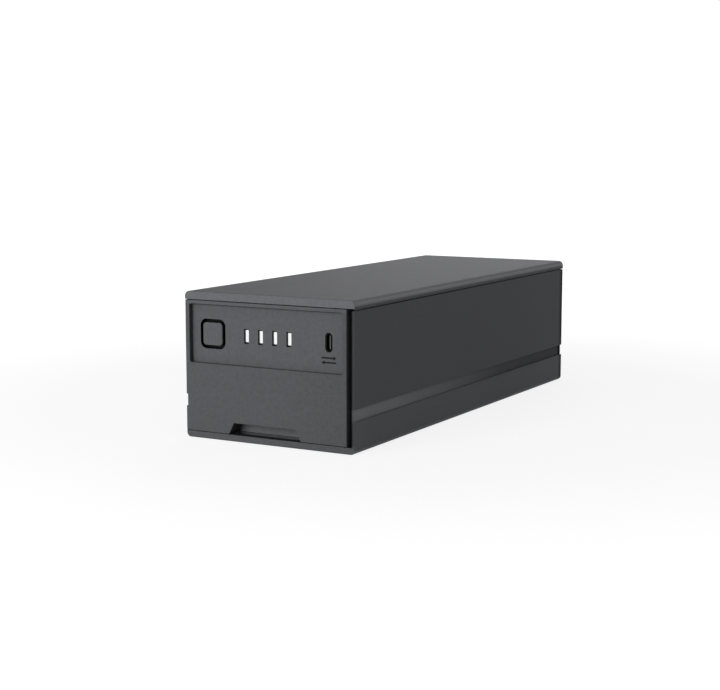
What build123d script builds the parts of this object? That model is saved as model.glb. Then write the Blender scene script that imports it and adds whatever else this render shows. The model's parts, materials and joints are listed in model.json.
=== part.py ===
from build123d import *
import os

os.makedirs("parts", exist_ok=True)

# Slide-in battery power station. Millimetres, +Z up, origin at the centre of the underside.
# X runs across the front, Y from the control panel (-Y) to the rear socket (+Y).

# ---- Cells and cell block ------------------------------------------------------------------------
cell_diameter = 21.2
cell_length = 70.2
cell_gap = 1.2              # between neighbouring cells
cells_long = 6              # series groups, one behind the other
cells_high = 3              # parallel cells in a group, stacked
cell_clearance = 0.1        # cell in its holder bore
holder_depth = 6.8          # how far a holder reaches along the cells
holder_rim = 0.6            # holder material above and below the outermost bores
holder_end_rim = 1.0        # the same at the front and rear
cell_proud = 0.2            # cell ends stand this far out of the holders
cell_edge = 0.8
crimp_start = 3.2           # crimped groove near the positive end
crimp_width = 1.4
crimp_depth = 0.6
positive_radius = 4.5
bus_thickness = 0.3
insulation_thickness = 0.4

# ---- Casing --------------------------------------------------------------------------------------
wall = 2.4
floor_thickness = 2.6
rear_wall = 3.2
cover_top = 2.4
cover_overhang = 0.1        # the cover stands proud of the housing all round
skirt = 1.3                 # thickness of the cover's side skirt
skirt_height = 5.0
skirt_gap = 0.3             # open line between skirt and housing
skirt_clearance = 0.3       # skirt to tongue, sideways
fascia_height = 4.2
fascia_thickness = 2.0
tongue = 1.0                # upstanding lip that carries the cover seal
seal_height = 1.2
side_bay = 11.7             # space beside the cell block, for screw posts
cover_edge_radius = 2.8
skirt_lower_radius = 0.78   # the skirt's lower edge turns under
bottom_edge_radius = 2.4
end_edge_radius = 0.4
cover_end_radius = 0.35
seam = 0.2                  # gap between mating casing parts

# ---- Front panel ---------------------------------------------------------------------------------
sill_height = 3.4
sill_margin = 2.0           # sill behind the finger pocket
panel_skin = 2.4
panel_edge_radius = 0.4
recess_depth = 3.0
recess_floor = 2.0
recess_height = 30.5
recess_top_margin = 1.8
recess_left_margin = 2.5
recess_right_margin = 2.2
recess_radius = 1.2
flange = 1.6                # stiffening flange round the back of the panel
flange_depth = 6.0
slot_width = 3.0            # upright keying slot beside the panel
slot_depth = 8.0
slot_wall = 1.5
slot_rib = 1.8
pocket_bottom_width = 43.0  # finger pocket at the foot of the panel
pocket_top_width = 36.8
pocket_height = 6.0
pocket_depth = 10.0
pocket_lip = 4.4            # lip of the sill that the fingers hook behind
pocket_hollow = 2.0         # hollow behind the lip, below its top

# ---- Ribs and recesses of the casing -------------------------------------------------------------
locating_rib = 1.6          # ribs that hold the cell block in place
locating_rib_height = 4.0
locating_rib_inset = 12.0   # from the inner sides
side_rib_height = 26.0
cover_rib_height = 3.0
cover_rib_inset = 11.0
label_recess_depth = 0.3
label_recess_size = (62.0, 44.0)
label_recess_radius = 3.0

# ---- Guide grooves on both sides -----------------------------------------------------------------
groove_bottom = 16.2
groove_height = 6.3
groove_depth = 1.0

# ---- Controls ------------------------------------------------------------------------------------
controls_drop = 0.2         # controls sit this far below the middle of the recess
button_inset = 12.6         # button centre from the recess's left edge
button_opening = 15.3
button_opening_radius = 3.5
cap_size = 11.7
cap_radius = 1.9
cap_bevel = 0.7
cap_proud = 0.6
button_travel = 0.8
stem_size = 5.0
stem_clearance = 0.15
well_depth = 1.6
well_wall = 1.2
guide_thickness = 1.4
button_seal_size = 9.0
button_seal_thickness = 0.8
retainer_size = 8.0
retainer_thickness = 0.8
running_gap = 0.2           # stops and seats that must stay clear
switch_size = 6.2
switch_corner = 0.4
plunger_radius = 1.7
plunger_clearance = 0.1
plunger_proud = 1.0
plunger_length = 2.0
light_inset = 33.0          # first light bar from the recess's left edge
light_pitch = 8.4
light_count = 4
light_width = 2.6
light_height = 7.4
light_recess = 1.4
light_clearance = 0.1
light_holder_margin = 2.0
light_holder_depth = 5.8
led_width = 1.6
led_height = 3.2
led_thickness = 0.8
port_inset = 9.4            # port centre from the recess's right edge
port_width = 3.26
port_height = 8.94
port_gap = 0.42             # panel cut-out round the port shell
port_wall = 0.3
port_setback = 0.3
port_back = 3.0
port_tongue_thickness = 0.7
port_tongue_height = 6.7
port_tongue_setback = 1.0
port_seal_width = 1.6
port_seal_thickness = 1.0

# ---- Front circuit board -------------------------------------------------------------------------
board_thickness = 1.6
board_gap = 8.4             # back of the panel to the front board
board_margin = 0.9          # board edge to the panel flange
board_boss_radius = 2.2
board_boss_margin = 0.6     # boss to the board's edges
board_boss_gap = 0.3        # boss to the button guide above it
small_screw_radius = 1.1
small_head_radius = 2.2
small_head_height = 1.6
small_screw_bite = 5.5

# ---- Casing screws -------------------------------------------------------------------------------
boss_radius = 4.5
boss_margin = 2.65          # screw boss to its neighbours, front pair
mid_boss_margin = 2.8       # the same, middle pair
rear_boss_overlap = 0.9     # rear bosses merge with the rear wall
post_height = 11.4          # cover post, from the underside of the cover
head_bore_radius = 3.1
head_ledge = 6.0
screw_radius = 1.5
screw_bore_radius = 1.7
screw_head_radius = 2.8
screw_head_height = 2.4
screw_bite = 7.0
panel_screw_inset = 17.0    # panel screws from the ends of the panel
panel_boss_size = 7.0
panel_boss_height = 9.6
panel_screw_bite = 6.5
panel_head_sink = 0.3       # panel screw heads below the underside
panel_head_height = 0.9

# ---- Rear plate and socket -----------------------------------------------------------------------
plate_border_x = 8.0        # plate beyond the opening behind it
plate_border_z = 5.5
plate_thickness = 1.4
plate_radius = 4.0
plate_gap = 0.25
plate_centre_z = 38.0
rear_gasket_thickness = 0.6
socket_flange_width = 58.0
socket_flange_height = 23.0
socket_flange_thickness = 2.0
socket_body_margin = 3.0
socket_length = 17.0
socket_pocket_width = 48.0
socket_pocket_height = 17.0
socket_pocket_depth = 4.4
socket_clearance = 1.0
plate_screw_inset = 4.5
plate_screw_depth = 8.0
plate_boss_radius = 3.2
socket_screw_inset = 2.5
socket_screw_bite = 6.0
plate_sink = 0.8            # screw heads sit in shallow counterbores
plate_head_sink = 0.2       # below the plate's face
contact_pitch = 9.0
contact_count = 5
contact_thickness = 1.6
contact_height = 8.0
contact_clearance = 0.2
contact_setback = 2.4
contact_tail = 4.0

# ---- Main board and leads ------------------------------------------------------------------------
main_board_side_gap = 3.4   # board to the side walls
main_board_length = 78.0
main_board_gap = 2.0        # board to the screw bosses in front and behind
standoff_height = 5.4
standoff_radius = 3.0
standoff_inset = 4.0
lead_radius = 1.4
lead_headroom = 0.2         # pack leads to the cover
lead_bend = 10.0
output_bend = 4.0
terminal_size = 8.0
terminal_height = 6.0
ribbon_width = 10.0
ribbon_thickness = 0.5
ribbon_bend = 3.0
flex_thickness = 0.3
flex_width = 10.0
strip_clearance = 0.1       # flex and cells, and other thin sheets
flex_branch_width = 4.0
plate_cover = 8.0           # bus plate beyond a cell centre
weld_slit_width = 0.8
weld_slit_height = 8.0
tab_width = 6.0             # folded tabs that carry the pack leads
tab_margin = 1.0
lead_gap_share = 0.6        # of the free width beside the header, what the first gap takes
ribbon_x = 16.0
link_row = 5.0              # terminals and headers from the front edge of the main board
front_header_rise = 6.0     # front board header above the controls
output_reach = 4.4          # output leads run this far forward of the contact tails
choke_pitch = 26.0
capacitor_pitch = 12.0
power_row_inset = 26.0      # middle of the chokes and capacitors from the board's left edge
fuse_inset = 16.0           # middle of the fuse from the board's right edge
transistor_pitch = 13.0
header_size = (14.0, 6.0, 6.0)
choke_size = 21.0
choke_height = 12.0
choke_core_radius = 8.0
capacitor_radius = 5.0
capacitor_height = 16.0
capacitor_count = 4
transistor_size = (10.0, 8.0, 2.3)
transistor_count = 5
heat_spreader_thickness = 3.0
fin_height = 7.0
fin_thickness = 1.2
fin_count = 6
fuse_size = (20.0, 8.0, 6.0)
shunt_size = (16.0, 6.0, 2.4)

# ---- Derived: the cell block sets the size of the casing -----------------------------------------
cell_radius = cell_diameter / 2
cell_pitch = cell_diameter + cell_gap
bore_radius = cell_radius + cell_clearance
holder_height = (cells_high - 1) * cell_pitch + 2 * (bore_radius + holder_rim)
holder_length = (cells_long - 1) * cell_pitch + 2 * (bore_radius + holder_end_rim)
inner_half = cell_length / 2 + bus_thickness + insulation_thickness + side_bay
body_half = inner_half + wall
half_width = body_half + cover_overhang

panel_depth = recess_depth + recess_floor
front_bay = panel_depth + board_gap + board_thickness + 2 * (boss_radius + boss_margin)
mid_bay = mid_boss_margin + 2 * boss_radius + main_board_gap
rear_end = main_board_gap + 2 * boss_radius - rear_boss_overlap
rear_bay = mid_bay + main_board_length + rear_end
body_length = front_bay + holder_length + rear_bay + rear_wall
front_face = -body_length / 2
rear_face = body_length / 2
cover_front = front_face - cover_overhang
cover_rear = rear_face + cover_overhang

holder_top = floor_thickness + holder_height
foam_thickness = 2 * bus_thickness + 2 * lead_radius + lead_headroom
cover_underside = holder_top + foam_thickness
height = cover_underside + cover_top
skirt_z = height - skirt_height
shoulder_z = skirt_z - skirt_gap
fascia_z = height - fascia_height
tongue_top = cover_underside - seal_height
tongue_outer = half_width - skirt - skirt_clearance
seal_front = cover_front + fascia_thickness + seam
seal_rear = cover_rear - skirt - skirt_clearance

block_front = front_face + front_bay
block_rear = block_front + holder_length
block_middle = (block_front + block_rear) / 2
block_centre_z = floor_thickness + holder_height / 2
rear_inner = rear_face - rear_wall

sill_depth = pocket_depth + sill_margin
panel_left = -body_half
slot_right = body_half - slot_wall
slot_left = slot_right - slot_width
slot_back = front_face + slot_depth
panel_right = slot_left
panel_bottom = sill_height + seam
panel_top = fascia_z - 2 * seam
panel_back = front_face + panel_depth
panel_middle = (panel_left + panel_right) / 2
flange_left = -inner_half + skirt_clearance
flange_back = panel_back + flange_depth
groove_top = groove_bottom + groove_height

recess_left = panel_left + recess_left_margin
recess_right = panel_right - recess_right_margin
recess_top = panel_top - recess_top_margin
recess_bottom = recess_top - recess_height
recess_y = front_face + recess_depth
controls_z = (recess_top + recess_bottom) / 2 - controls_drop
button_x = recess_left + button_inset
port_x = recess_right - port_inset
light_xs = [recess_left + light_inset + i * light_pitch for i in range(light_count)]

guide_size = button_opening + 2 * well_wall
stem_hole = stem_size + 2 * stem_clearance
well_back = panel_back + well_depth
guide_back = well_back + guide_thickness
cap_back = well_back - button_seal_thickness - button_travel - running_gap
retainer_front = guide_back + seam / 2
retainer_back = retainer_front + retainer_thickness
stem_end = retainer_back + button_travel - running_gap
board_front = panel_back + board_gap
board_back = board_front + board_thickness
switch_front = stem_end + plunger_proud

board_left = flange_left + flange + board_margin
board_right = panel_right - flange - board_margin
board_top = panel_top - flange - board_margin
board_boss_inset = board_boss_radius + board_boss_margin
board_bottom = controls_z - guide_size / 2 - board_boss_gap - board_boss_radius - board_boss_inset
board_boss_xs = (board_left + board_boss_inset, board_right - board_boss_inset)
board_boss_zs = (board_bottom + board_boss_inset, board_top - board_boss_inset)

boss_x = inner_half - boss_radius
front_boss_y = block_front - boss_margin - boss_radius
mid_boss_y = block_rear + mid_boss_margin + boss_radius
rear_boss_y = rear_inner + rear_boss_overlap - boss_radius
boss_ys = (front_boss_y, mid_boss_y, rear_boss_y)
boss_spots = [(side * boss_x, y) for side in (-1, 1) for y in boss_ys]
post_bottom = cover_underside - post_height
boss_top = post_bottom - seam
head_seat = boss_top - head_ledge

panel_screw_xs = (panel_left + panel_screw_inset, panel_right - panel_screw_inset)
panel_head_top = panel_head_sink + panel_head_height
panel_screw_y = front_face + panel_skin + panel_boss_size / 2

ledge_width = socket_flange_width + 2 * socket_clearance
ledge_height = socket_flange_height + 2 * socket_clearance
plate_width = ledge_width + 2 * plate_border_x
plate_height = ledge_height + 2 * plate_border_z
plate_bed = rear_face - plate_thickness - rear_gasket_thickness
plate_inner = rear_face - plate_thickness
plate_screw_end = plate_bed - plate_screw_depth + locating_rib
plate_head_face = rear_face - plate_head_sink
plate_screw_x = plate_width / 2 - plate_screw_inset
plate_screw_rise = plate_height / 2 - plate_screw_inset
plate_screw_spots = [
    (x, plate_centre_z + rise)
    for x in (-plate_screw_x, plate_screw_x)
    for rise in (-plate_screw_rise, plate_screw_rise)
]
socket_screw_x = socket_flange_width / 2 - socket_screw_inset
socket_screw_spots = [(-socket_screw_x, plate_centre_z), (socket_screw_x, plate_centre_z)]
socket_face = rear_face - socket_pocket_depth
socket_back = plate_inner - socket_length
contact_xs = [(i - (contact_count - 1) / 2) * contact_pitch for i in range(contact_count)]

main_board_width = 2 * (inner_half - main_board_side_gap)
main_board_front = mid_boss_y + boss_radius + main_board_gap
main_board_rear = main_board_front + main_board_length
main_board_z = floor_thickness + standoff_height
deck_z = main_board_z + board_thickness
standoff_spots = [
    (side * (main_board_width / 2 - standoff_inset), y)
    for side in (-1, 1)
    for y in (main_board_front + standoff_inset, main_board_rear - standoff_inset)
]

holder_outer = cell_length / 2 - cell_proud
holder_inner = holder_outer - holder_depth
bus_outer = cell_length / 2 + bus_thickness
cell_ys = [block_middle + (i - (cells_long - 1) / 2) * cell_pitch for i in range(cells_long)]
cell_zs = [block_centre_z + (i - (cells_high - 1) / 2) * cell_pitch for i in range(cells_high)]
lead_z = holder_top + 2 * bus_thickness + lead_radius
terminal_edge = holder_inner - strip_clearance
lead_gap = lead_gap_share * (terminal_edge - header_size[0] / 2 - 2 * terminal_size)
negative_lead_x = -(terminal_edge - terminal_size / 2)
positive_lead_x = -(header_size[0] / 2 + lead_gap + terminal_size / 2)
link_y = main_board_front + link_row
terminal_top = deck_z + terminal_height
flex_z = cell_zs[-1] + cell_radius + strip_clearance
ribbon_z = lead_z - lead_radius + ribbon_thickness / 2 + bus_thickness
front_header_z = controls_z + front_header_rise
output_y = socket_back - contact_tail - output_reach


# ---- Helpers -------------------------------------------------------------------------------------
def span(middle, size):
    """Lower and upper limit of a size about its middle."""
    return (middle - size / 2, middle + size / 2)


def slab(x, y, z, mode=Mode.ADD):
    """Block between the given limits on each axis."""
    middle = ((x[0] + x[1]) / 2, (y[0] + y[1]) / 2, (z[0] + z[1]) / 2)
    with Locations(middle):
        Box(x[1] - x[0], y[1] - y[0], z[1] - z[0], mode=mode)


def post(x, y, z, radius, mode=Mode.ADD):
    """Upright cylinder between two heights."""
    with Locations((x, y, (z[0] + z[1]) / 2)):
        Cylinder(radius, z[1] - z[0], mode=mode)


def rod(x, y, z, radius, mode=Mode.ADD):
    """Cylinder lying along Y between two depths."""
    with Locations((x, (y[0] + y[1]) / 2, z)):
        Cylinder(radius, y[1] - y[0], rotation=(90, 0, 0), mode=mode)


def upright(y):
    """Sketch plane across the object at depth y: local axes are X and Z, extrude(-d) goes to the rear."""
    return Plane(origin=(0, y, 0), x_dir=(1, 0, 0), z_dir=(0, -1, 0))


def rounded_bar(x, y, z, size_x, size_z, radius, mode=Mode.ADD):
    """Rounded rectangle centred at (x, z), extruded from depth y[0] to y[1]."""
    with BuildSketch(upright(y[0])) as profile:
        with Locations((x, z)):
            RectangleRounded(size_x, size_z, radius)
    extrude(profile.sketch, amount=-(y[1] - y[0]), mode=mode)


def upright_slot(x, y, z, size_x, size_z, mode=Mode.ADD):
    """Slot with fully round ends, standing upright, extruded from depth y[0] to y[1]."""
    with BuildSketch(upright(y[0])) as profile:
        with Locations((x, z)):
            SlotOverall(size_z, size_x, rotation=90)
    extrude(profile.sketch, amount=-(y[1] - y[0]), mode=mode)


def finish(builder, name):
    """Label the finished piece and write it."""
    builder.part.label = name
    export_step(builder.part, f"parts/{name}.step")


def seal_loop():
    """Closed band that the cover seal follows: round the casing, stepping in behind the keying slot."""
    outline = [
        (-tongue_outer, seal_front),
        (slot_left, seal_front),
        (slot_left, slot_back),
        (tongue_outer, slot_back),
        (tongue_outer, seal_rear),
        (-tongue_outer, seal_rear),
    ]
    Polygon(*outline, align=None)
    offset(amount=-tongue, kind=Kind.INTERSECTION, mode=Mode.SUBTRACT)


# ---- Lower housing -------------------------------------------------------------------------------
left_wall_front = panel_back + seam
side_rib_ys = (block_front + cell_pitch, block_middle, block_rear - cell_pitch)
with BuildPart() as lower_housing:
    slab((-body_half, body_half), (front_face, rear_face), (0, shoulder_z))
    fillet(lower_housing.edges().filter_by(Axis.Y).group_by(Axis.Z)[0], bottom_edge_radius)
    for end in (front_face, rear_face):
        outline = lower_housing.edges().filter_by_position(Axis.Y, end, end)
        fillet(outline.sort_by(Axis.Z)[:-1], end_edge_radius)
    # Interior, open at the top and at the front
    slab((-inner_half, inner_half), (front_face - wall, rear_inner),
         (floor_thickness, shoulder_z + wall), Mode.SUBTRACT)
    slab((-inner_half, inner_half), (front_face, front_face + sill_depth),
         (floor_thickness / 2, sill_height))
    # Tongue for the cover seal, stepping across behind the keying slot
    slab((slot_left + seam, inner_half + tongue), (slot_back, slot_back + slot_rib),
         (floor_thickness, shoulder_z))
    with BuildSketch(Plane.XY.offset(shoulder_z)):
        seal_loop()
    extrude(amount=tongue_top - shoulder_z)
    slab((-half_width, slot_left + seam), (cover_front, slot_back + tongue), (shoulder_z, height),
         Mode.SUBTRACT)
    # The panel closes the left side, the keying slot runs beside it on the right
    slab((-half_width, -inner_half), (cover_front, left_wall_front), (sill_height, height),
         Mode.SUBTRACT)
    slab((slot_left, slot_right), (cover_front, slot_back), (sill_height, height), Mode.SUBTRACT)
    # Guide grooves, full length on both sides
    for side in (-1, 1):
        groove_x = sorted((side * (body_half - groove_depth), side * half_width))
        slab(groove_x, (cover_front, cover_rear), (groove_bottom, groove_top), Mode.SUBTRACT)
    # Ribs that locate the cell block, on the floor and on the side walls
    for y in (block_front - locating_rib, block_rear):
        for side in (-1, 1):
            rib_x = sorted((side * locating_rib_inset, side * (inner_half - locating_rib_inset)))
            slab(rib_x, (y, y + locating_rib), (floor_thickness / 2, floor_thickness + locating_rib_height))
    for side in (-1, 1):
        for y in side_rib_ys:
            rib_x = sorted((side * (inner_half + wall / 4), side * (inner_half - side_bay)))
            slab(rib_x, span(y, locating_rib), (floor_thickness / 2, side_rib_height))
    # Standoffs for the main board
    for x, y in standoff_spots:
        post(x, y, (floor_thickness / 2, main_board_z), standoff_radius)
        post(x, y, (main_board_z - small_screw_bite + board_thickness, main_board_z), small_screw_radius,
             Mode.SUBTRACT)
    # Rear plate: bed and opening in the rear wall, with four screw bosses inside
    for x, z in plate_screw_spots:
        rod(x, (plate_bed - plate_screw_depth, rear_inner + rear_wall / 4), z, plate_boss_radius)
    rounded_bar(0, (plate_bed, rear_face + wall), plate_centre_z, plate_width + 2 * plate_gap,
                plate_height + 2 * plate_gap, plate_radius + plate_gap, Mode.SUBTRACT)
    rounded_bar(0, (rear_inner - wall, rear_face), plate_centre_z, ledge_width, ledge_height,
                socket_clearance, Mode.SUBTRACT)
    # Posts for the cover screws, bored from below
    for x, y in boss_spots:
        post(x, y, (floor_thickness / 2, boss_top), boss_radius)
    for x, z in plate_screw_spots:
        rod(x, (plate_screw_end, rear_face), z, small_screw_radius, Mode.SUBTRACT)
    for x, y in boss_spots:
        post(x, y, (-wall, head_seat), head_bore_radius, Mode.SUBTRACT)
        post(x, y, (head_seat - wall, boss_top + wall), screw_bore_radius, Mode.SUBTRACT)
    # Counterbored holes for the panel screws, through the sill
    for x in panel_screw_xs:
        post(x, panel_screw_y, (-wall, sill_height + wall), screw_bore_radius, Mode.SUBTRACT)
        with BuildSketch(Plane((x, panel_screw_y, 0))):
            Circle(head_bore_radius)
        extrude(amount=panel_head_top, mode=Mode.SUBTRACT)
    # Hollow behind the lip at the foot of the finger pocket
    slab(span(panel_middle, pocket_bottom_width), (front_face + pocket_lip, front_face + pocket_depth),
         (sill_height - pocket_hollow, sill_height + wall), Mode.SUBTRACT)
    # Shallow bare recess on the underside
    with BuildSketch(Plane((0, block_middle, 0))):
        RectangleRounded(*label_recess_size, label_recess_radius)
    extrude(amount=label_recess_depth, mode=Mode.SUBTRACT)
finish(lower_housing, "lower_housing")

# ---- Top cover -----------------------------------------------------------------------------------
cover_rib_ys = [main_board_front + (i + 1) * main_board_length / 4 for i in range(3)]
with BuildPart() as top_cover:
    slab((-half_width, half_width), (cover_front, cover_rear), (skirt_z, height))
    along = top_cover.edges().filter_by(Axis.Y).group_by(Axis.Z)
    fillet(along[-1], cover_edge_radius)
    fillet(top_cover.edges().filter_by(Axis.Y).group_by(Axis.Z)[0], skirt_lower_radius)
    for end in (cover_front, cover_rear):
        outline = top_cover.edges().filter_by_position(Axis.Y, end, end)
        fillet(outline.sort_by(Axis.Z)[1:], cover_end_radius)
    slab((-half_width + skirt, half_width - skirt), (cover_front + fascia_thickness, cover_rear - skirt),
         (skirt_z - wall, cover_underside), Mode.SUBTRACT)
    slab((-half_width - wall, half_width + wall), (cover_front - wall, cover_front + fascia_thickness),
         (skirt_z - wall, fascia_z), Mode.SUBTRACT)
    # Plug that closes the top of the keying slot behind the fascia
    slab((slot_left + seam, slot_right), (cover_front + fascia_thickness / 2, slot_back - seam),
         (fascia_z, cover_underside + cover_top / 2))
    # Posts that take the cover screws
    for x, y in boss_spots:
        post(x, y, (post_bottom, cover_underside + cover_top / 2), boss_radius - seam)
    for x, y in boss_spots:
        post(x, y, (post_bottom - wall, post_bottom + screw_bite), screw_radius, Mode.SUBTRACT)
    slab((-inner_half, inner_half), (rear_inner - seam, rear_inner + rear_boss_overlap),
         (post_bottom - wall, cover_underside), Mode.SUBTRACT)
    # Stiffening ribs over the main board
    for y in cover_rib_ys:
        slab((-half_width + cover_rib_inset, half_width - cover_rib_inset), span(y, locating_rib),
             (cover_underside - cover_rib_height, cover_underside + cover_top / 2))
finish(top_cover, "top_cover")

# ---- Cover seal ----------------------------------------------------------------------------------
with BuildPart() as cover_seal:
    with BuildSketch(Plane.XY.offset(tongue_top)):
        seal_loop()
    extrude(amount=seal_height)
finish(cover_seal, "cover_seal")

# ---- Cover screws --------------------------------------------------------------------------------
with BuildPart() as cover_screws:
    for x, y in boss_spots:
        post(x, y, (head_seat - screw_head_height, head_seat), screw_head_radius)
        post(x, y, (head_seat, post_bottom + screw_bite - running_gap), screw_radius)
    for x, y in boss_spots:
        with BuildSketch(Plane((x, y, head_seat - screw_head_height))):
            RegularPolygon(screw_radius, 6)
        extrude(amount=screw_head_height / 2, mode=Mode.SUBTRACT)
finish(cover_screws, "cover_screws")

# ---- Front panel ---------------------------------------------------------------------------------
pocket_wall_back = front_face + pocket_depth + flange
pocket_foot = [(-pocket_bottom_width / 2, 0), (pocket_bottom_width / 2, 0)]
pocket_head = [(pocket_top_width / 2, pocket_height), (-pocket_top_width / 2, pocket_height)]
with BuildPart() as front_panel:
    slab((panel_left, panel_right), (front_face, panel_back), (panel_bottom, panel_top))
    outline = front_panel.edges().filter_by_position(Axis.Y, front_face, front_face)
    fillet(outline, panel_edge_radius)
    # Thinner skin below the control recess
    slab((flange_left, panel_right - flange), (front_face + panel_skin, panel_back),
         (panel_bottom + flange, recess_bottom - flange), Mode.SUBTRACT)
    # Stiffening flange round the back
    slab((flange_left, panel_right), (front_face + panel_skin, flange_back), (panel_bottom, panel_top))
    slab((flange_left + flange, panel_right - flange), (panel_back, flange_back + wall),
         (panel_bottom + flange, panel_top - flange), Mode.SUBTRACT)
    slab((flange_left + flange, panel_right - flange), (front_face + panel_skin, flange_back + wall),
         (panel_bottom + flange, recess_bottom - flange), Mode.SUBTRACT)
    # Finger pocket at the foot, open to the sill below it
    with BuildSketch(Plane(origin=(panel_middle, front_face + panel_skin, panel_bottom), x_dir=(1, 0, 0),
                           z_dir=(0, -1, 0))):
        Polygon(*pocket_foot, *pocket_head, align=None)
        offset(amount=flange, kind=Kind.INTERSECTION)
        with Locations((0, -flange)):
            Rectangle(panel_right - panel_left, 2 * flange, mode=Mode.SUBTRACT)
    extrude(amount=-(pocket_wall_back - front_face - panel_skin))
    with BuildSketch(Plane(origin=(panel_middle, front_face, panel_bottom), x_dir=(1, 0, 0),
                           z_dir=(0, -1, 0))):
        Polygon(*pocket_foot, *pocket_head, align=None)
    extrude(amount=-pocket_depth, mode=Mode.SUBTRACT)
    # Control recess
    with BuildSketch(upright(front_face)):
        with Locations(((recess_left + recess_right) / 2, (recess_top + recess_bottom) / 2)):
            RectangleRounded(recess_right - recess_left, recess_height, recess_radius)
    extrude(amount=-recess_depth, mode=Mode.SUBTRACT)
    # Well that guides the power button
    rounded_bar(button_x, (recess_y, well_back), controls_z, button_opening + 2 * well_wall,
                button_opening + 2 * well_wall, button_opening_radius + well_wall)
    rounded_bar(button_x, (recess_y, well_back), controls_z, button_opening, button_opening,
                button_opening_radius, Mode.SUBTRACT)
    # Slots for the light bars and the port
    for x in light_xs:
        slab(span(x, light_width + 2 * light_clearance), (recess_y, panel_back),
             span(controls_z, light_height + 2 * light_clearance), Mode.SUBTRACT)
    upright_slot(port_x, (recess_y, panel_back), controls_z, port_width + 2 * port_gap,
                 port_height + 2 * port_gap, Mode.SUBTRACT)
    # Bosses for the front board
    for x in board_boss_xs:
        for z in board_boss_zs:
            rod(x, (panel_back, board_front), z, board_boss_radius)
            rod(x, (board_front - small_screw_bite + board_thickness, board_front), z, small_screw_radius,
                Mode.SUBTRACT)
    # Bosses for the two screws that come up through the sill
    for x in panel_screw_xs:
        slab(span(x, panel_boss_size), span(panel_screw_y, panel_boss_size),
             (panel_bottom, panel_bottom + panel_boss_height))
        post(x, panel_screw_y, (panel_bottom, panel_bottom + panel_screw_bite), screw_radius, Mode.SUBTRACT)
    # Tongue for the cover seal
    with BuildSketch(Plane.XY.offset(panel_top)):
        seal_loop()
        with Locations((0, slot_back)):
            Rectangle(2 * body_length, 2 * body_length, align=(Align.CENTER, Align.MIN), mode=Mode.SUBTRACT)
        with Locations((flange_left, 0)):
            Rectangle(body_length, 2 * body_length, align=(Align.MAX, Align.CENTER), mode=Mode.SUBTRACT)
    extrude(amount=tongue_top - panel_top)
    # The left edge drops below the cover skirt behind the fascia
    slab((panel_left - wall, flange_left), (cover_front + fascia_thickness - seam, panel_back + wall),
         (shoulder_z, height), Mode.SUBTRACT)
    # Groove that continues the housing's guide groove
    slab((panel_left - wall, panel_left + groove_depth), (cover_front, panel_back + wall),
         (groove_bottom, groove_top), Mode.SUBTRACT)
finish(front_panel, "front_panel")

# ---- Panel screws --------------------------------------------------------------------------------
with BuildPart() as panel_screws:
    for x in panel_screw_xs:
        post(x, panel_screw_y, (panel_head_sink, panel_head_top), screw_head_radius)
        post(x, panel_screw_y, (panel_head_top, panel_bottom + panel_screw_bite - running_gap), screw_radius)
finish(panel_screws, "panel_screws")

# ---- Power button --------------------------------------------------------------------------------
with BuildPart() as button_cap:
    rounded_bar(button_x, (recess_y - cap_proud, cap_back), controls_z, cap_size, cap_size, cap_radius)
    front = button_cap.faces().sort_by(Axis.Y)[0]
    fillet(front.edges(), cap_bevel)
    slab(span(button_x, stem_size), (cap_back, stem_end), span(controls_z, stem_size))
finish(button_cap, "button_cap")

with BuildPart() as button_retainer:
    rounded_bar(button_x, (retainer_front, retainer_back), controls_z, retainer_size, retainer_size,
                stem_clearance)
    slab(span(button_x, stem_size), (retainer_front, retainer_back), span(controls_z, stem_size),
         Mode.SUBTRACT)
finish(button_retainer, "button_retainer")

with BuildPart() as button_guide:
    rounded_bar(button_x, (well_back, guide_back), controls_z, guide_size, guide_size,
                button_opening_radius + well_wall)
    rounded_bar(button_x, (well_back, guide_back), controls_z, stem_hole, stem_hole, stem_clearance,
                Mode.SUBTRACT)
finish(button_guide, "button_guide")

with BuildPart() as button_seal:
    rounded_bar(button_x, (well_back - button_seal_thickness, well_back), controls_z, button_seal_size,
                button_seal_size, cap_radius)
    rounded_bar(button_x, (well_back - button_seal_thickness, well_back), controls_z, stem_hole, stem_hole,
                stem_clearance, Mode.SUBTRACT)
finish(button_seal, "button_seal")

plunger_back = stem_end + plunger_length
with BuildPart() as switch_plunger:
    rod(button_x, (stem_end, plunger_back), controls_z, plunger_radius)
finish(switch_plunger, "switch_plunger")

with BuildPart() as switch_body:
    slab(span(button_x, switch_size), (switch_front, board_front), span(controls_z, switch_size))
    fillet(switch_body.edges().filter_by(Axis.Y), switch_corner)
    rod(button_x, (switch_front, plunger_back + button_travel + running_gap), controls_z,
        plunger_radius + plunger_clearance, Mode.SUBTRACT)
finish(switch_body, "switch_body")

# ---- Front board and what it carries -------------------------------------------------------------
with BuildPart() as front_board:
    slab((board_left, board_right), (board_front, board_back), (board_bottom, board_top))
    for x in board_boss_xs:
        for z in board_boss_zs:
            rod(x, (board_front, board_back), z, small_screw_radius + stem_clearance, Mode.SUBTRACT)
finish(front_board, "front_board")

with BuildPart() as front_board_screws:
    for x in board_boss_xs:
        for z in board_boss_zs:
            rod(x, (board_back, board_back + small_head_height), z, small_head_radius)
            rod(x, (board_back - small_screw_bite + running_gap, board_back), z, small_screw_radius)
finish(front_board_screws, "front_board_screws")

with BuildPart() as indicator_leds:
    for x in light_xs:
        slab(span(x, led_width), (board_front - led_thickness, board_front), span(controls_z, led_height))
finish(indicator_leds, "indicator_leds")

light_back = board_front - led_thickness - running_gap
for number, x in enumerate(light_xs, start=1):
    with BuildPart() as light_guide:
        slab(span(x, light_width), (recess_y + light_recess, light_back), span(controls_z, light_height))
    finish(light_guide, f"light_guide_{number}")

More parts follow.
